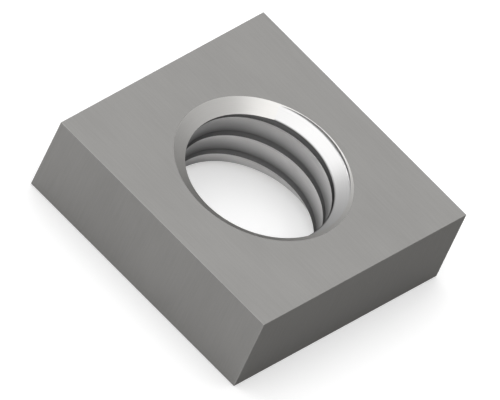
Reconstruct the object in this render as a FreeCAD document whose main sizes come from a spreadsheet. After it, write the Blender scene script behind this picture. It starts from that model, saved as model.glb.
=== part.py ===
import FreeCAD, Part
import os
import sys

import Sketcher

# Thin square nut, M10, without a bevel on its outside.
# It is one solid: a square block, a hole with a countersink at each mouth, and a right-hand
# thread that is a real helical groove. The origin is the middle of the bottom face, and the
# thread's axis is +Z.

NODE = "square_nut"

# Driving dimensions, in millimetres and degrees.
DIMENSIONS = [
    ("across_flats", "16.0", "width of the square"),
    ("nut_height", "5.0", "thickness"),
    ("thread_diameter", "10.0", "nominal diameter, which is the root of the nut's thread"),
    ("thread_pitch", "1.5", "rise of the thread in one turn"),
    ("flank_angle", "60.0", "angle between the two flanks"),
    ("crest_share", "0.25", "flat on the crest, as a share of the pitch"),
    ("root_share", "0.125", "flat on the root, as a share of the pitch"),
    ("thread_start", "0.06", "height of the groove's middle where it crosses +X"),
    ("countersink_angle", "120.0", "full angle of the cone at each mouth"),
    ("mouth_margin", "0.05", "how much wider a mouth is than the thread"),
]

# Shares and lengths that follow from the driving dimensions.
THREAD_DEPTH = (
    "Dimensions.thread_pitch * (1 - Dimensions.crest_share - Dimensions.root_share)"
    " / 2 / tan(Dimensions.flank_angle / 2)"
)
ROOT_RADIUS = "Dimensions.thread_diameter / 2"
CREST_RADIUS = f"{ROOT_RADIUS} - {THREAD_DEPTH}"
MOUTH_RADIUS = "(Dimensions.thread_diameter + Dimensions.mouth_margin) / 2"
COUNTERSINK_DEPTH = f"({MOUTH_RADIUS} - ({CREST_RADIUS})) / tan(Dimensions.countersink_angle / 2)"
ROOT_FLAT = "Dimensions.root_share * Dimensions.thread_pitch"

# The groove is drawn a little past the crest, into the open hole, so that its cut is clean.
PAST_CREST = "Dimensions.thread_pitch / 10"
GROOVE_INNER_RADIUS = f"{CREST_RADIUS} - {PAST_CREST}"
GROOVE_INNER_WIDTH = (
    f"{ROOT_FLAT} + 2 * ({THREAD_DEPTH} + {PAST_CREST}) * tan(Dimensions.flank_angle / 2)"
)

QUARTERS = 4

# Sketcher's names for the origin, the two axes, and the ends of a line.
ORIGIN = (-1, 1)
HORIZONTAL_AXIS = -1
START, END = 1, 2


def add_dimensions(document):
    """Write each driving dimension in its own cell, with its name beside it."""
    sheet = document.addObject("Spreadsheet::Sheet", "Dimensions")
    for row, (alias, value, meaning) in enumerate(DIMENSIONS, start=1):
        sheet.set(f"A{row}", alias)
        sheet.set(f"B{row}", value)
        sheet.set(f"C{row}", meaning)
        sheet.setAlias(f"B{row}", alias)
    document.recompute()
    return sheet


def origin_feature(body, role):
    """Return the body's own origin plane or axis with this role."""
    return next(feature for feature in body.Origin.OriginFeatures if feature.Role == role)


def add_sketch(body, name, plane_role):
    """Add an empty sketch on one of the body's origin planes."""
    sketch = body.newObject("Sketcher::SketchObject", name)
    sketch.AttachmentSupport = [(origin_feature(body, plane_role), "")]
    sketch.MapMode = "FlatFace"
    return sketch


def draw_closed_outline(sketch, corners):
    """Draw straight lines from corner to corner and join their ends. Line i starts at corner i.

    The corners are only a rough start. The sketch's constraints then move them to where the
    dimensions put them.
    """
    count = len(corners)
    for i in range(count):
        start = FreeCAD.Vector(*corners[i], 0)
        end = FreeCAD.Vector(*corners[(i + 1) % count], 0)
        sketch.addGeometry(Part.LineSegment(start, end), False)
    for i in range(count):
        sketch.addConstraint(Sketcher.Constraint("Coincident", i, END, (i + 1) % count, START))


def add_length(sketch, kind, name, first, second, guess, expression):
    """Hold a distance between two points of the sketch, tied to the dimensions."""
    index = sketch.addConstraint(Sketcher.Constraint(kind, *first, *second, guess))
    sketch.renameConstraint(index, name)
    sketch.setExpression(f"Constraints.{name}", expression)


def make_block(body):
    """Square block that stands on the XY plane, centred on the axis."""
    sketch = add_sketch(body, "block_outline", "XY_Plane")
    half = 8.0
    draw_closed_outline(sketch, [(-half, -half), (half, -half), (half, half), (-half, half)])
    for line in (0, 2):
        sketch.addConstraint(Sketcher.Constraint("Horizontal", line))
    for line in (1, 3):
        sketch.addConstraint(Sketcher.Constraint("Vertical", line))
    sketch.addConstraint(Sketcher.Constraint("Symmetric", 0, START, 2, START, *ORIGIN))
    sketch.addConstraint(Sketcher.Constraint("Equal", 0, 1))
    add_length(sketch, "DistanceX", "across_flats", (0, START), (0, END), 2 * half,
               "Dimensions.across_flats")

    block = body.newObject("PartDesign::Pad", "block")
    block.Profile = sketch
    block.setExpression("Length", "Dimensions.nut_height")
    body.Document.recompute()
    return block


def make_hole(body):
    """Round hole at the crest diameter with a 120 degree countersink at both mouths.

    The half section is turned by a quarter, and the quarter is repeated. So each turn of the
    crest is four short strips of cylinder, and no face winds right round the hole.
    """
    sketch = add_sketch(body, "hole_half_section", "XZ_Plane")
    mouth, crest, depth, height = 5.0, 4.2, 0.5, 5.0
    draw_closed_outline(sketch, [(0, 0), (mouth, 0), (crest, depth), (crest, height - depth),
                                 (mouth, height), (0, height)])
    sketch.addConstraint(Sketcher.Constraint("Coincident", 0, START, *ORIGIN))
    for line in (0, 4):
        sketch.addConstraint(Sketcher.Constraint("Horizontal", line))
    for line in (2, 5):
        sketch.addConstraint(Sketcher.Constraint("Vertical", line))
    sketch.addConstraint(Sketcher.Constraint("Equal", 0, 4))
    add_length(sketch, "DistanceX", "mouth_radius", (0, START), (0, END), mouth, MOUTH_RADIUS)
    add_length(sketch, "DistanceX", "crest_radius", ORIGIN, (2, START), crest, CREST_RADIUS)
    add_length(sketch, "DistanceY", "height", ORIGIN, (5, START), height, "Dimensions.nut_height")
    add_length(sketch, "DistanceY", "lower_depth", (1, START), (1, END), depth, COUNTERSINK_DEPTH)
    add_length(sketch, "DistanceY", "upper_depth", (3, START), (3, END), depth, COUNTERSINK_DEPTH)

    quarter = body.newObject("PartDesign::Groove", "hole_quarter")
    quarter.Profile = sketch
    quarter.ReferenceAxis = (sketch, ["V_Axis"])
    quarter.Angle = 360 / QUARTERS
    quarter.Refine = False
    body.Document.recompute()

    hole = body.newObject("PartDesign::PolarPattern", "hole")
    hole.Originals = [quarter]
    hole.Axis = (origin_feature(body, "Z_Axis"), [""])
    hole.Angle = 360
    hole.Occurrences = QUARTERS
    hole.Refine = False
    body.Tip = hole
    body.Document.recompute()
    return hole


def make_thread(body):
    """Right-hand groove swept up a helix, from below the bottom face to above the top one."""
    sketch = add_sketch(body, "thread_groove", "XZ_Plane")
    sketch.setExpression(".AttachmentOffset.Base.y",
                         "Dimensions.thread_start - Dimensions.thread_pitch")
    inner, root, half_inner, half_root = 4.0, 5.0, 0.6, 0.1
    draw_closed_outline(sketch, [(inner, -half_inner), (root, -half_root), (root, half_root),
                                 (inner, half_inner)])
    sketch.addConstraint(Sketcher.Constraint("Symmetric", 1, START, 1, END, HORIZONTAL_AXIS))
    sketch.addConstraint(Sketcher.Constraint("Symmetric", 3, START, 3, END, HORIZONTAL_AXIS))
    add_length(sketch, "DistanceX", "root_radius", ORIGIN, (1, START), root, ROOT_RADIUS)
    add_length(sketch, "DistanceX", "inner_radius", ORIGIN, (0, START), inner,
               GROOVE_INNER_RADIUS)
    add_length(sketch, "DistanceY", "root_flat", (1, START), (1, END), 2 * half_root, ROOT_FLAT)
    add_length(sketch, "DistanceY", "inner_width", (3, END), (3, START), 2 * half_inner,
               GROOVE_INNER_WIDTH)

    thread = body.newObject("PartDesign::SubtractiveHelix", "thread")
    thread.Profile = sketch
    thread.ReferenceAxis = (sketch, ["V_Axis"])
    thread.Mode = "pitch-height-angle"
    thread.LeftHanded = False
    thread.Refine = False
    thread.setExpression("Pitch", "Dimensions.thread_pitch")
    thread.setExpression("Height", "Dimensions.nut_height + 2 * Dimensions.thread_pitch")
    body.Tip = thread
    body.Document.recompute()
    return thread


def check_cut(before, after):
    """Stop if a cut has taken nothing away."""
    if not after.Shape.Volume < before.Shape.Volume:
        sys.exit(f"{after.Name} cuts nothing")


def check_document(document, body):
    """Stop if an object has failed or the nut is not one closed solid."""
    for item in document.Objects:
        if "Invalid" in item.State or "Error" in item.State:
            sys.exit(f"{item.Name} failed: {item.State}")
    if body.Shape.isNull() or not body.Shape.isValid() or len(body.Shape.Solids) != 1:
        sys.exit(f"{body.Label} is not one valid solid")


document = FreeCAD.newDocument("SquareNut")
add_dimensions(document)

nut = document.addObject("PartDesign::Body", NODE)
nut.Label = NODE
nut.Placement = FreeCAD.Placement()

block = make_block(nut)
hole = make_hole(nut)
check_cut(block, hole)
thread = make_thread(nut)
check_cut(hole, thread)
check_document(document, nut)

os.makedirs("parts", exist_ok=True)
nut.Shape.exportStep(f"parts/{nut.Label}.step")
print(f"{nut.Label}: {nut.Shape.Volume:.2f} mm3, {len(nut.Shape.Faces)} faces")
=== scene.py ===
# %% [markdown]
# # A thin square nut, M10
#
# The object is one small piece of steel: a square block, 16 mm wide and 5 mm thick, with a
# threaded hole through its middle. There is nothing to assemble, so the whole lesson is about
# cutting one clean form the way a workshop cuts it, and then giving plain steel a surface that
# is worth looking at.
#
# The imported CAD model is loaded first. It fixes the size and the place of everything that follows,
# and it is never moved or changed.

import math

import bpy
from mathutils import Matrix, Vector


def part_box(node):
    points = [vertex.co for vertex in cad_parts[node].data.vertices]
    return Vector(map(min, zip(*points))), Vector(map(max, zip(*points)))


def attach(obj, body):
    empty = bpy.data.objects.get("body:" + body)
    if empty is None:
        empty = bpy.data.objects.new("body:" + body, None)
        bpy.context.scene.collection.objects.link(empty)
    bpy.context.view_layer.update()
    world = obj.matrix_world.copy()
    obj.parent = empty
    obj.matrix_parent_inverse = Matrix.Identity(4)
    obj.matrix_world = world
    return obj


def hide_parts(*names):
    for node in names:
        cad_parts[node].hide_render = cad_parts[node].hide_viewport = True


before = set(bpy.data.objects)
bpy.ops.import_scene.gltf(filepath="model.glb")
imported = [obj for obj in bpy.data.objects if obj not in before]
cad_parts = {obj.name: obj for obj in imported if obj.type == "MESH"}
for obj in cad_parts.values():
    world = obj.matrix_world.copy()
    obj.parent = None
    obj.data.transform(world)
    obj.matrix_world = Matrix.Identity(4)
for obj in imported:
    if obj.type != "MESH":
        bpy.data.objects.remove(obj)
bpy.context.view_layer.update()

# %% [markdown]
# ## Sizes
#
# The nut is modelled with one Blender unit for one millimetre and brought down to metres at the
# end. Blender's own tolerances, such as the distance at which two points count as one, suit
# things of about that size. The outside comes from the CAD node. The thread's numbers are those
# of the metric standard: its pitch, its 60 degree flanks, and flats that are shares of the pitch.
# The middle of its groove crosses the X axis just above the bottom face, and each mouth is a
# little wider than the thread.

# %% Sizes in millimetres
MM = 0.001
nut_low, nut_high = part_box("square_nut")
width = round((nut_high[0] - nut_low[0]) / MM, 3)
height = round((nut_high[2] - nut_low[2]) / MM, 3)

thread_diameter = 10.0
pitch = 1.5
half_flank_angle = math.radians(30)
crest_flat = pitch / 4
root_flat = pitch / 8
flank_rise = (pitch - crest_flat - root_flat) / 2
root_radius = thread_diameter / 2
crest_radius = root_radius - flank_rise / math.tan(half_flank_angle)
groove_height_at_x = 0.06

mouth_margin = 0.05
mouth_radius = (thread_diameter + mouth_margin) / 2
countersink_half_angle = math.radians(60)

print(f"block {width} x {width} x {height} mm, crest diameter {2 * crest_radius:.3f} mm")

# %% [markdown]
# ## Small helpers
#
# An operator acts on everything that is selected, and the import leaves the CAD node selected.
# So each step starts with nothing selected, and then picks one object, or the points or faces
# that it needs, by their place or by the way they face.

# %% Selecting by place
def select_only(piece):
    """Make this object the only selected one, and the active one."""
    if bpy.context.object and bpy.context.object.mode != "OBJECT":
        bpy.ops.object.mode_set(mode="OBJECT")
    bpy.ops.object.select_all(action="DESELECT")
    piece.select_set(True)
    bpy.context.view_layer.objects.active = piece


def select_vertices(piece, wanted):
    """In edit mode, leave just the vertices selected for which wanted(place) is true."""
    bpy.ops.mesh.select_mode(type="VERT")
    bpy.ops.mesh.select_all(action="DESELECT")
    bpy.ops.object.mode_set(mode="OBJECT")
    for vertex in piece.data.vertices:
        vertex.select = bool(wanted(vertex.co))
    bpy.ops.object.mode_set(mode="EDIT")


def select_faces(piece, wanted):
    """In edit mode, leave just the faces selected for which wanted(normal) is true."""
    bpy.ops.mesh.select_mode(type="FACE")
    bpy.ops.mesh.select_all(action="DESELECT")
    bpy.ops.object.mode_set(mode="OBJECT")
    for face in piece.data.polygons:
        face.select = bool(wanted(face.normal))
    bpy.ops.object.mode_set(mode="EDIT")


# %% Modifiers and cuts
def apply_all_modifiers(piece):
    """Turn what the modifiers show into the mesh itself."""
    select_only(piece)
    for modifier in list(piece.modifiers):
        bpy.ops.object.modifier_apply(modifier=modifier.name)


def cut(piece, tool):
    """Take the tool's volume out of the piece, and throw the tool away.

    The new faces take the tool's material, so each cut has the finish of its own tool.
    """
    modifier = piece.modifiers.new("cut", "BOOLEAN")
    modifier.operation = "DIFFERENCE"
    modifier.solver = "EXACT"
    modifier.material_mode = "TRANSFER"
    modifier.object = tool
    apply_all_modifiers(piece)
    bpy.data.objects.remove(tool, do_unlink=True)

# %% [markdown]
# ## The finish of the steel
#
# The nut is bare satin steel, but it doesn't look the same all over. Each tool leaves its own
# surface, and part of the difference is painted shade. The top and bottom keep the dull skin of
# rolled strip. The sides have been sheared, which leaves upright lines, and they are painted darker
# than the top as shade. The countersinks are turned, so they are bright and have rings. The tap
# leaves lines that climb with the thread, and its flanks are painted as shade: dark at the crests and
# bright towards the roots.
#
# One function makes the common steel. Each finish then gives it a pattern to follow: a number
# from 0 to 1 over the surface, which moves the colour, the roughness and the height a little. A
# pattern on real steel does no more than that, and a stronger one looks like stone or wood.

# %% Node helpers
def new_node(tree, kind, **settings):
    """Add a shader node and set its properties."""
    node = tree.nodes.new(kind)
    for name, value in settings.items():
        setattr(node, name, value)
    return node


def calculate(tree, operation, *values):
    """Math node. Each value is a number or another node's socket."""
    node = new_node(tree, "ShaderNodeMath", operation=operation)
    for socket, value in zip(node.inputs, values):
        if isinstance(value, bpy.types.NodeSocket):
            tree.links.new(value, socket)
        else:
            socket.default_value = value
    return node.outputs["Value"]


def change_range(tree, value, old, new):
    """Map Range node from the pair old to the pair new, with the ends held."""
    node = new_node(tree, "ShaderNodeMapRange", clamp=True)
    for name, number in zip(("From Min", "From Max", "To Min", "To Max"), (*old, *new)):
        node.inputs[name].default_value = number
    tree.links.new(value, node.inputs["Value"])
    return node.outputs["Result"]


def blend(tree, share, first, second):
    """The first value where the share is 0, the second where it is 1."""
    return calculate(tree, "MULTIPLY_ADD", calculate(tree, "SUBTRACT", second, first), share, first)


# %% Place and noise
def place_in_mm(tree):
    """X, Y and Z on the nut, in millimetres, as three sockets."""
    coordinates = new_node(tree, "ShaderNodeTexCoord")
    in_mm = new_node(tree, "ShaderNodeMapping")
    in_mm.inputs["Scale"].default_value = (1 / MM, 1 / MM, 1 / MM)
    split = new_node(tree, "ShaderNodeSeparateXYZ")
    tree.links.new(coordinates.outputs["Object"], in_mm.inputs["Vector"])
    tree.links.new(in_mm.outputs["Vector"], split.inputs["Vector"])
    return split.outputs["X"], split.outputs["Y"], split.outputs["Z"]


def noise_over(tree, values, sizes, detail=2.0):
    """Noise whose blotches have these sizes, in the units of the three values."""
    joined = new_node(tree, "ShaderNodeCombineXYZ")
    for value, size, socket in zip(values, sizes, joined.inputs):
        tree.links.new(calculate(tree, "DIVIDE", value, size), socket)
    noise = new_node(tree, "ShaderNodeTexNoise", noise_dimensions="3D")
    noise.inputs["Scale"].default_value = 1.0
    noise.inputs["Detail"].default_value = detail
    tree.links.new(joined.outputs["Vector"], noise.inputs["Vector"])
    return noise.outputs["Fac"]


# %% Common steel
WARM_GREY = (1.012, 0.997, 0.970)
PLAIN_GREY = (1.003, 0.998, 0.995)
PATTERN_ENDS = (0.25, 0.75)
BRIGHTNESS_SWING = 0.04
ROUGHNESS_SWING = 0.025
BUMP_HEIGHT = 0.001


def steel(name, tone, brightness, roughness, edge_tint, pattern, shade=None, smoothing=None):
    """Bare steel that follows pattern(tree).

    shade(tree), where it is given, multiplies the brightness, and smoothing(tree) is taken off
    the roughness.
    """
    material = bpy.data.materials.new(name)
    material.use_nodes = True
    tree = material.node_tree
    shader = tree.nodes["Principled BSDF"]
    shader.inputs["Metallic"].default_value = 1.0
    shader.inputs["Specular Tint"].default_value = (edge_tint, edge_tint, edge_tint, 1)
    pattern_socket = pattern(tree)

    darkest = brightness * (1 - BRIGHTNESS_SWING)
    brightest = brightness * (1 + BRIGHTNESS_SWING)
    level = change_range(tree, pattern_socket, PATTERN_ENDS, (darkest, brightest))
    if shade:
        level = calculate(tree, "MULTIPLY", level, shade(tree))
    colour = new_node(tree, "ShaderNodeVectorMath", operation="SCALE")
    colour.inputs[0].default_value = tone
    tree.links.new(level, colour.inputs["Scale"])
    tree.links.new(colour.outputs["Vector"], shader.inputs["Base Color"])

    roughest = roughness + ROUGHNESS_SWING
    smoothest = roughness - ROUGHNESS_SWING
    rough = change_range(tree, pattern_socket, PATTERN_ENDS, (roughest, smoothest))
    if smoothing:
        rough = calculate(tree, "SUBTRACT", rough, smoothing(tree))
    tree.links.new(rough, shader.inputs["Roughness"])

    bump = new_node(tree, "ShaderNodeBump")
    bump.inputs["Distance"].default_value = BUMP_HEIGHT * MM
    tree.links.new(pattern_socket, bump.inputs["Height"])
    tree.links.new(bump.outputs["Normal"], shader.inputs["Normal"])
    return material

# %% [markdown]
# ### Rolled top and sheared sides
#
# Strip comes off the rollers with a grain along its length, so the noise for the top and bottom
# is drawn out along X. On top of the grain lie soft clouds a few millimetres wide, where the
# skin is a little duller. The sides get the same two layers, but there the grain stands upright,
# the way the blade went. Both finishes are a little brighter along the outer edges, where a loose
# nut rubs against others in its box.

# %% Wear along the outer edges
WEAR_PATCHES = (0.5, 0.5, 0.5)
PATCH_ENDS = (0.3, 0.7)
WEAR_REACH = (0.02, 0.12)
WORN_BRIGHTNESS = 1.10


def edge_wear(tree):
    """1 on the open faces, a little more within a fraction of a millimetre of an edge."""
    x, y, z = place_in_mm(tree)
    from_side_x = calculate(tree, "SUBTRACT", width / 2, calculate(tree, "ABSOLUTE", x))
    from_side_y = calculate(tree, "SUBTRACT", width / 2, calculate(tree, "ABSOLUTE", y))
    from_face = calculate(tree, "MINIMUM", z, calculate(tree, "SUBTRACT", height, z))
    nearer = calculate(tree, "MINIMUM", from_side_x, from_side_y)
    further = calculate(tree, "MAXIMUM", from_side_x, from_side_y)
    from_edge = calculate(tree, "MAXIMUM", nearer, calculate(tree, "MINIMUM", further, from_face))
    ragged = noise_over(tree, (x, y, z), WEAR_PATCHES, detail=3.0)
    reach = change_range(tree, ragged, PATCH_ENDS, WEAR_REACH)
    share = calculate(tree, "DIVIDE", from_edge, reach)
    return change_range(tree, share, (0.0, 1.0), (WORN_BRIGHTNESS, 1.0))


# %% Rolled and sheared steel
MOTTLING = 0.4
GRAIN_SIZE = (1.6, 0.07, 0.07)
GRAIN_CLOUDS = (4.0, 2.5, 2.5)
SHEAR_LINES = (0.09, 0.09, 2.2)
SHEAR_CLOUDS = (2.5, 2.5, 4.0)


def rolled_grain(tree):
    """Grain along X, with wide clouds under it."""
    place = place_in_mm(tree)
    grain = noise_over(tree, place, GRAIN_SIZE)
    clouds = noise_over(tree, place, GRAIN_CLOUDS, detail=1.0)
    return blend(tree, MOTTLING, grain, clouds)


def sheared_grain(tree):
    """Upright lines along Z, with wide clouds under them."""
    place = place_in_mm(tree)
    lines = noise_over(tree, place, SHEAR_LINES)
    clouds = noise_over(tree, place, SHEAR_CLOUDS, detail=1.0)
    return blend(tree, MOTTLING, lines, clouds)


rolled_steel = steel("rolled_steel", tone=WARM_GREY, brightness=0.294, roughness=0.474,
                     edge_tint=0.05, pattern=rolled_grain, shade=edge_wear)
# The sheared sides are given a lower brightness than the rolled top as painted shade; their upright
# grain is their own.
sheared_steel_painted_darker = steel("sheared_steel_painted_darker", tone=WARM_GREY, brightness=0.244, roughness=0.474,
                      edge_tint=0.05, pattern=sheared_grain, shade=edge_wear)
print("outer finishes:", rolled_steel.name, sheared_steel_painted_darker.name)

# %% [markdown]
# ### Turned countersinks
#
# A countersink turns while it cuts, so its marks are rings round the hole. A ring is wherever the
# distance from the axis is the same, and a noise that looks only at that distance draws rings of
# uneven strength, as a real tool does. A second noise that is stretched along the rings keeps
# them from being too perfect.

# %% Distance from the axis, and turned steel
RING_SIZE = (0.035, 50.0, 50.0)
RING_DRIFT = (1.8, 1.8, 0.10)


def distance_from_axis(tree):
    """Distance from the thread's axis in millimetres."""
    x, y, _ = place_in_mm(tree)
    x_squared = calculate(tree, "MULTIPLY", x, x)
    y_squared = calculate(tree, "MULTIPLY", y, y)
    return calculate(tree, "SQRT", calculate(tree, "ADD", x_squared, y_squared))


def turned_rings(tree):
    """Fine rings of uneven strength round the hole."""
    x, y, z = place_in_mm(tree)
    radius = distance_from_axis(tree)
    rings = noise_over(tree, (radius, z, z), RING_SIZE)
    drift = noise_over(tree, (x, y, radius), RING_DRIFT)
    return blend(tree, MOTTLING, rings, drift)


turned_steel = steel("turned_steel", tone=WARM_GREY, brightness=0.600, roughness=0.361,
                     edge_tint=0.30, pattern=turned_rings)
print("countersink finish:", turned_steel.name)

# %% [markdown]
# ### Tapped thread
#
# The tap's marks run along the thread, so the material has to know the helix. The angle round
# the axis says how far the groove has climbed on its way round. Counted in pitches from the
# first groove, the height minus that climb is a whole number in the middle of every groove.
# Rounding it says to which turn a point belongs, and so how high the middle of its own groove
# lies. Noise over the height above that middle and the distance from the axis gives lines that
# climb exactly with the thread.

# %% The groove in which a point lies
TAP_LINES = (0.03, 0.04, 50.0)
TAP_DRIFT = (1.2, 1.2, 1.2)


def groove_middle(tree):
    """Height of the middle of a point's own groove, in millimetres."""
    x, y, z = place_in_mm(tree)
    climb = calculate(tree, "DIVIDE", calculate(tree, "ARCTAN2", y, x), math.tau)
    above_first = calculate(tree, "DIVIDE", calculate(tree, "SUBTRACT", z, groove_height_at_x), pitch)
    turn = calculate(tree, "ROUND", calculate(tree, "SUBTRACT", above_first, climb))
    turns_up = calculate(tree, "ADD", turn, climb)
    return calculate(tree, "MULTIPLY_ADD", turns_up, pitch, groove_height_at_x)


def tap_lines(tree):
    """Lines that climb with the thread."""
    x, y, z = place_in_mm(tree)
    above_middle = calculate(tree, "SUBTRACT", z, groove_middle(tree))
    radius = distance_from_axis(tree)
    lines = noise_over(tree, (above_middle, radius, radius), TAP_LINES)
    drift = noise_over(tree, (x, y, z), TAP_DRIFT)
    return blend(tree, MOTTLING, lines, drift)

# %% [markdown]
# The crests are painted dark, and from there the flank that faces up is painted brighter over three
# quarters of its depth, towards the root. This is painted shade and a painted highlight, not a mark
# of the cut. The other flank, which faces down, is the one that draws the tap in. The tap presses on
# it, so it is burnished nearly from the crest on. Little of it is seen, but it lights up the roots.
#
# Each flank runs out through the mouth that it faces, with the same slope as the cone there. The
# countersink and the deburring after it have left it as clean as the cone, and it carries on the
# ring that the eye sees. There the shade and the roughness go over to those of the countersink.
# A groove whose middle lies less than half a millimetre from the face has run out all the way.

# %% Which flank, and how near its mouth
RUN_OUT_ENDS = (0.5, 0.9)


def faces_down(tree):
    """1 on the flank above the middle of its groove, 0 on the one below it."""
    _, _, z = place_in_mm(tree)
    return calculate(tree, "GREATER_THAN", z, groove_middle(tree))


def near_mouth(tree):
    """1 where a flank runs out through the mouth that it faces, 0 in the turns further in."""
    middle = groove_middle(tree)
    from_top = calculate(tree, "SUBTRACT", height, middle)
    from_own_face = blend(tree, faces_down(tree), from_top, middle)
    return change_range(tree, from_own_face, RUN_OUT_ENDS, (1.0, 0.0))


# %% Painted shade from the crest to the root
PAINTED_CREST_SHADE = 0.12
MOUTH_SHADE = 0.63
SHADE_CURVE = 1.5
BRIGHT_SHARE = 0.76
CLEAN_DEPTH = 0.10
bright_radius = crest_radius + BRIGHT_SHARE * (root_radius - crest_radius)
clean_radius = crest_radius + CLEAN_DEPTH


def painted_thread_shade(tree):
    """Painted shade: dark on the crest and bright at the root, and as the countersink where it runs
    out.
    """
    radius = distance_from_axis(tree)
    depth = change_range(tree, radius, (crest_radius, bright_radius), (0.0, 1.0))
    curved = calculate(tree, "POWER", depth, SHADE_CURVE)
    painted_shade_up = change_range(tree, curved, (0.0, 1.0), (PAINTED_CREST_SHADE, 1.0))
    painted_shade_down = change_range(tree, radius, (crest_radius, clean_radius), (PAINTED_CREST_SHADE, 1.0))
    inside = blend(tree, faces_down(tree), painted_shade_up, painted_shade_down)
    run_out = change_range(tree, radius, (crest_radius, clean_radius), (PAINTED_CREST_SHADE, MOUTH_SHADE))
    return blend(tree, near_mouth(tree), inside, run_out)


# %% Tapped steel
MOUTH_SMOOTHING = 0.17


def mouth_smoothing(tree):
    """Takes the thread's roughness down to that of the countersink near it."""
    return calculate(tree, "MULTIPLY", near_mouth(tree), MOUTH_SMOOTHING)


# Its brightness, near that of silver, carries the painted highlight at the roots, together with the
# painted thread shade.
tapped_steel = steel("tapped_steel", tone=PLAIN_GREY, brightness=0.95, roughness=0.50,
                     edge_tint=0.30, pattern=tap_lines, shade=painted_thread_shade,
                     smoothing=mouth_smoothing)
print("thread finish:", tapped_steel.name)

# %% [markdown]
# ## The block
#
# A thin square nut is cut from strip. Its outside has no bevel, only the tiny rounding that every
# real edge has, so the block is a cube primitive brought to size, with all its edges rounded by
# a few hundredths of a millimetre. The faces that look up or down keep the rolled finish, and the
# rest are given the sheared one, picked by the direction in which they face.

# %% Block
edge_rounding = 0.03
edge_segments = 5

bpy.ops.object.select_all(action="DESELECT")
bpy.ops.mesh.primitive_cube_add(size=1, location=(0, 0, height / 2), scale=(width, width, height))
nut = bpy.context.object
nut.name = "nut"
bpy.ops.object.transform_apply(location=True, rotation=True, scale=True)
bpy.ops.object.mode_set(mode="EDIT")
bpy.ops.mesh.select_all(action="SELECT")
bpy.ops.mesh.bevel(offset=edge_rounding, segments=edge_segments, profile=0.5, affect="EDGES")
bpy.ops.object.mode_set(mode="OBJECT")
print("block:", len(nut.data.polygons), "faces")

# %% Finish of the block's faces
level_enough = 0.7
side_slot = 1

nut.data.materials.append(rolled_steel)
# The steel for the sides is painted darker than the rolled top, as shade.
nut.data.materials.append(sheared_steel_painted_darker)
bpy.ops.object.mode_set(mode="EDIT")
select_faces(nut, lambda normal: abs(normal.z) < level_enough)
nut.active_material_index = side_slot
bpy.ops.object.material_slot_assign()
bpy.ops.object.mode_set(mode="OBJECT")
sheared = sum(1 for face in nut.data.polygons if face.material_index == side_slot)
print("sheared faces:", sheared, "of", len(nut.data.polygons))

# %% [markdown]
# ## The countersinks
#
# A 120 degree cutter opens each mouth until it is as wide as the thread, so that a bolt finds its
# way in and no sharp burr stands up. The cutter is a cone with its point in the hole. It is
# made a little taller than the cut, because two faces that lie in one plane make a poor boolean.

# %% Countersinks
round_steps = 256
past_face = 0.5
UP, DOWN = 1, -1


def make_countersink(face_height, point_direction):
    """Cone with its point in the hole, which lies UP or DOWN from this face."""
    base_radius = mouth_radius + past_face * math.tan(countersink_half_angle)
    cone_height = base_radius / math.tan(countersink_half_angle)
    middle = face_height + point_direction * (cone_height / 2 - past_face)
    turn = (0, 0, 0) if point_direction == UP else (math.pi, 0, 0)
    bpy.ops.object.select_all(action="DESELECT")
    bpy.ops.mesh.primitive_cone_add(vertices=round_steps, radius1=base_radius, radius2=0,
                                    depth=cone_height, location=(0, 0, middle), rotation=turn)
    cone = bpy.context.object
    bpy.ops.object.transform_apply(location=True, rotation=True, scale=True)
    cone.data.materials.append(turned_steel)
    return cone


cut(nut, make_countersink(0, UP))
cut(nut, make_countersink(height, DOWN))
print("after the countersinks:", len(nut.data.polygons), "faces")

# %% [markdown]
# ## The thread
#
# The thread is what makes this a nut. It could be faked with rings, but rings don't climb, and
# anyone who looks into the hole sees that. So the outline of one pitch is drawn as a line:
# half a crest, a flank, the root, the other flank and half a crest. It starts as a plane whose
# corners are merged into one point, and the point is extruded from corner to corner. The corners
# are rounded as a tap leaves them. The Screw modifier then carries the line round and up, one
# pitch for each turn, and the result is a rod with the exact form of a tap. That rod is cut out
# of the block.

# %% Outline of one pitch
crest_rounding = 0.05
root_rounding = 0.09
corner_segments = 6
turns_below = 3
start_height = groove_height_at_x + pitch / 2 - turns_below * pitch

outline = [
    (crest_radius, 0),
    (crest_radius, crest_flat / 2),
    (root_radius, crest_flat / 2 + flank_rise),
    (root_radius, crest_flat / 2 + flank_rise + root_flat),
    (crest_radius, pitch - crest_flat / 2),
    (crest_radius, pitch),
]

bpy.ops.object.select_all(action="DESELECT")
bpy.ops.mesh.primitive_plane_add(size=1, location=(0, 0, 0))
tap = bpy.context.object
tap.name = "tap"
bpy.ops.object.mode_set(mode="EDIT")
bpy.ops.mesh.select_mode(type="VERT")
bpy.ops.mesh.select_all(action="SELECT")
bpy.ops.mesh.merge(type="CENTER")
first_radius, first_height = outline[0]
bpy.ops.transform.translate(value=(first_radius, 0, start_height + first_height))
for (radius, rise), (next_radius, next_rise) in zip(outline, outline[1:]):
    step = (next_radius - radius, 0, next_rise - rise)
    bpy.ops.mesh.extrude_region_move(TRANSFORM_OT_translate={"value": step})

# %% Rounded corners of the outline
close_enough = 0.01


def is_crest_corner(place):
    """True where the crest meets a flank, but not at the outline's two ends."""
    rise = place.z - start_height
    on_crest = place.x < crest_radius + close_enough
    return on_crest and close_enough < rise < pitch - close_enough


def is_root_corner(place):
    """True where the root meets a flank."""
    return place.x > root_radius - close_enough


for wanted, rounding in ((is_crest_corner, crest_rounding), (is_root_corner, root_rounding)):
    select_vertices(tap, wanted)
    bpy.ops.mesh.bevel(offset=rounding, segments=corner_segments, profile=0.5, affect="VERTICES")
bpy.ops.object.mode_set(mode="OBJECT")
print("outline:", len(tap.data.vertices), "points")

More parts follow.
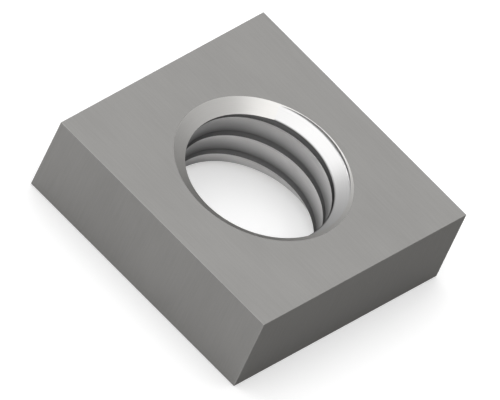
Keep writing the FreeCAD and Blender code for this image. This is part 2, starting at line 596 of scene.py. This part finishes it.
# %% [markdown]
# The Screw modifier makes separate turns that only touch, so their shared points are merged. The
# rod is then trimmed a little past both faces of the nut with bisect, which also closes its ends,
# and its normals are made to point outwards. Only a closed rod cuts cleanly.

# %% Tap
tap_turns = 8
tap_past_face = 0.4
merge_distance = 0.0005

screw = tap.modifiers.new("screw", "SCREW")
screw.axis = "Z"
screw.angle = math.tau
screw.screw_offset = pitch
screw.iterations = tap_turns
screw.steps = round_steps
screw.render_steps = round_steps
apply_all_modifiers(tap)

bpy.ops.object.mode_set(mode="EDIT")
bpy.ops.mesh.select_all(action="SELECT")
bpy.ops.mesh.remove_doubles(threshold=merge_distance)
bpy.ops.mesh.select_all(action="SELECT")
bpy.ops.mesh.bisect(plane_co=(0, 0, -tap_past_face), plane_no=(0, 0, 1), use_fill=True,
                    clear_inner=True)
bpy.ops.mesh.select_all(action="SELECT")
bpy.ops.mesh.bisect(plane_co=(0, 0, height + tap_past_face), plane_no=(0, 0, 1), use_fill=True,
                    clear_outer=True)
bpy.ops.mesh.select_all(action="SELECT")
bpy.ops.mesh.normals_make_consistent(inside=False)
bpy.ops.object.mode_set(mode="OBJECT")
tap.data.materials.append(tapped_steel)
print("tap:", len(tap.data.polygons), "faces")

# %% [markdown]
# Where the thread's faces cross those of the cones, the cut leaves points that all but coincide,
# and slivers between them. They are merged and dissolved, so that the nut is a clean closed mesh.

# %% Cut the thread
cut(nut, tap)
select_only(nut)
bpy.ops.object.mode_set(mode="EDIT")
bpy.ops.mesh.select_all(action="SELECT")
bpy.ops.mesh.remove_doubles(threshold=merge_distance)
bpy.ops.mesh.dissolve_degenerate(threshold=merge_distance)
bpy.ops.object.mode_set(mode="OBJECT")
print("threaded nut:", len(nut.data.polygons), "faces")

# %% [markdown]
# The mesh is then shaded smooth, but not over corners sharper than 25 degrees. The Weighted
# Normal modifier lets the large faces decide the normals, so that the flat top stays flat right
# up to its rounded edges and doesn't seem to swell.

# %% Smooth shading
smooth_below = math.radians(25)
large_face_weight = 100

select_only(nut)
bpy.ops.object.shade_smooth_by_angle(angle=smooth_below)
weighted = nut.modifiers.new("weighted_normals", "WEIGHTED_NORMAL")
weighted.keep_sharp = True
weighted.weight = large_face_weight
apply_all_modifiers(nut)
print("smooth faces:", sum(1 for face in nut.data.polygons if face.use_smooth))

# %% [markdown]
# ## From millimetres to metres
#
# The finished mesh is scaled down about the origin, and the scale is applied, so that the object
# itself stays unscaled and its place is in its mesh. The piece then stands for the CAD node: it rides
# on the same body, and the CAD node is hidden.

# %% Place the nut in the frame
select_only(nut)
nut.scale = (MM, MM, MM)
bpy.ops.object.transform_apply(location=True, rotation=True, scale=True)
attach(nut, "root")
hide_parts("square_nut")
print("nut size in mm:", [round(side / MM, 3) for side in nut.dimensions])

# %% [markdown]
# ## The floor
#
# The nut lies on a sheet of white paper. Paper reflects about four fifths of the light, so under
# plain light it renders as a pale grey. The missing fifth is added as a glow that only the camera
# and reflections see, so the background is white without more light on the nut. The glow is a
# little stronger than that, which keeps the nut's own soft shadow pale where the floor is seen
# through the hole.

# %% Floor
paper_width = 2000
gap_below_nut = 0.02

bpy.ops.object.select_all(action="DESELECT")
bpy.ops.mesh.primitive_plane_add(size=paper_width * MM, location=(0, 0, -gap_below_nut * MM))
floor = bpy.context.object
floor.name = "floor"
print("floor:", round(floor.dimensions.x, 3), "m wide")

# %% Paper
paper_colour = (0.8, 0.8, 0.8, 1)
paper_glow = 0.32

paper = bpy.data.materials.new("paper")
paper.use_nodes = True
tree = paper.node_tree
tree.nodes.clear()
ray = new_node(tree, "ShaderNodeLightPath")
seen = calculate(tree, "MAXIMUM", ray.outputs["Is Camera Ray"], ray.outputs["Is Glossy Ray"])
seen = calculate(tree, "MAXIMUM", seen, ray.outputs["Is Transmission Ray"])
glow = new_node(tree, "ShaderNodeEmission")
tree.links.new(calculate(tree, "MULTIPLY", seen, paper_glow), glow.inputs["Strength"])
matt = new_node(tree, "ShaderNodeBsdfDiffuse")
matt.inputs["Color"].default_value = paper_colour
both = new_node(tree, "ShaderNodeAddShader")
output = new_node(tree, "ShaderNodeOutputMaterial")
tree.links.new(matt.outputs["BSDF"], both.inputs[0])
tree.links.new(glow.outputs["Emission"], both.inputs[1])
tree.links.new(both.outputs["Shader"], output.inputs["Surface"])
floor.data.materials.append(paper)
print("floor's material:", paper.name, "with a glow of", paper_glow)

# %% [markdown]
# ## The light
#
# Metal shows what is round it, so a small hard lamp would leave it black with one burning spot.
# Here the nut lies in a dim white room under two wide round softboxes, one above it that leans to
# the front, and one above and behind it. A smaller and lower one at the left front reaches into
# the thread. A softbox's brightness is given as the value with which it shows in a mirror, where
# 1 is white. The light on the floor is added up, and comes to a little over 1: at that level each
# colour renders about as it is written.

# %% Dim room
room_brightness = 0.355

world = bpy.data.worlds.new("studio")
bpy.context.scene.world = world
world.use_nodes = True
world.node_tree.nodes["Background"].inputs["Color"].default_value = (1, 1, 1, 1)
world.node_tree.nodes["Background"].inputs["Strength"].default_value = room_brightness
print("room:", world.name, "at", room_brightness)

# %% How a softbox is made
softbox_distance = 500


def from_angles(azimuth, elevation):
    """Direction with this azimuth, counted from +X towards +Y, and elevation, in degrees."""
    turn, lift = math.radians(azimuth), math.radians(elevation)
    return Vector((math.cos(turn) * math.cos(lift), math.sin(turn) * math.cos(lift), math.sin(lift)))


def add_softbox(name, azimuth, elevation, half_angle, brightness):
    """Round area lamp that faces the nut and looks this wide from there. Returns its light."""
    direction = from_angles(azimuth, elevation)
    distance = softbox_distance * MM
    radius = distance * math.tan(math.radians(half_angle))
    bpy.ops.object.select_all(action="DESELECT")
    bpy.ops.object.light_add(type="AREA", location=distance * direction)
    lamp = bpy.context.object
    lamp.name = name
    lamp.rotation_euler = direction.to_track_quat("Z", "Y").to_euler()
    lamp.data.shape = "DISK"
    lamp.data.size = 2 * radius
    lamp.data.energy = brightness * math.pi * (math.pi * radius ** 2)
    lamp.visible_camera = False
    return brightness * math.sin(math.radians(half_angle)) ** 2 * direction.z


# %% Three softboxes
light_on_floor = room_brightness
light_on_floor += add_softbox("overhead", azimuth=-100, elevation=74, half_angle=37, brightness=1.05)
light_on_floor += add_softbox("back", azimuth=116, elevation=60, half_angle=41, brightness=0.88)
light_on_floor += add_softbox("front", azimuth=-150, elevation=28, half_angle=12, brightness=2.5)
print(f"light on the floor: {light_on_floor:.2f}")

# %% [markdown]
# ## The camera
#
# The picture is a parallel projection: opposite edges of the nut stay parallel in it. So the
# camera is orthographic. It looks down at 44 degrees and is rolled by 26, which is why the nut
# seems to stand on one corner. It is centred on the nut, but for a fraction of a millimetre.

# %% Direction of view
view_azimuth = -63.89
view_elevation = 43.92
view_roll = 26.19
slide_right = 0.0687
slide_up = -0.0476

to_camera = from_angles(view_azimuth, view_elevation)
level_right = Vector((0, 0, 1)).cross(to_camera).normalized()
right = Matrix.Rotation(math.radians(view_roll), 3, to_camera) @ level_right
up = to_camera.cross(right)
aim = Vector((0, 0, height / 2)) + slide_right * right + slide_up * up
print("camera looks from", [round(part, 4) for part in to_camera])

# %% Camera
view_width = 26.43
camera_distance = 100
nearest_seen = 1
furthest_seen = 5000

camera_data = bpy.data.cameras.new("camera")
camera_data.type = "ORTHO"
camera_data.ortho_scale = view_width * MM
camera_data.clip_start = nearest_seen * MM
camera_data.clip_end = furthest_seen * MM
camera = bpy.data.objects.new("camera", camera_data)
bpy.context.collection.objects.link(camera)
turned = Matrix((right, up, to_camera)).transposed().to_4x4()
camera.matrix_world = Matrix.Translation((aim + camera_distance * to_camera) * MM) @ turned
bpy.context.scene.camera = camera
bpy.context.scene.view_settings.view_transform = "Standard"
print("camera sees", view_width, "mm across")
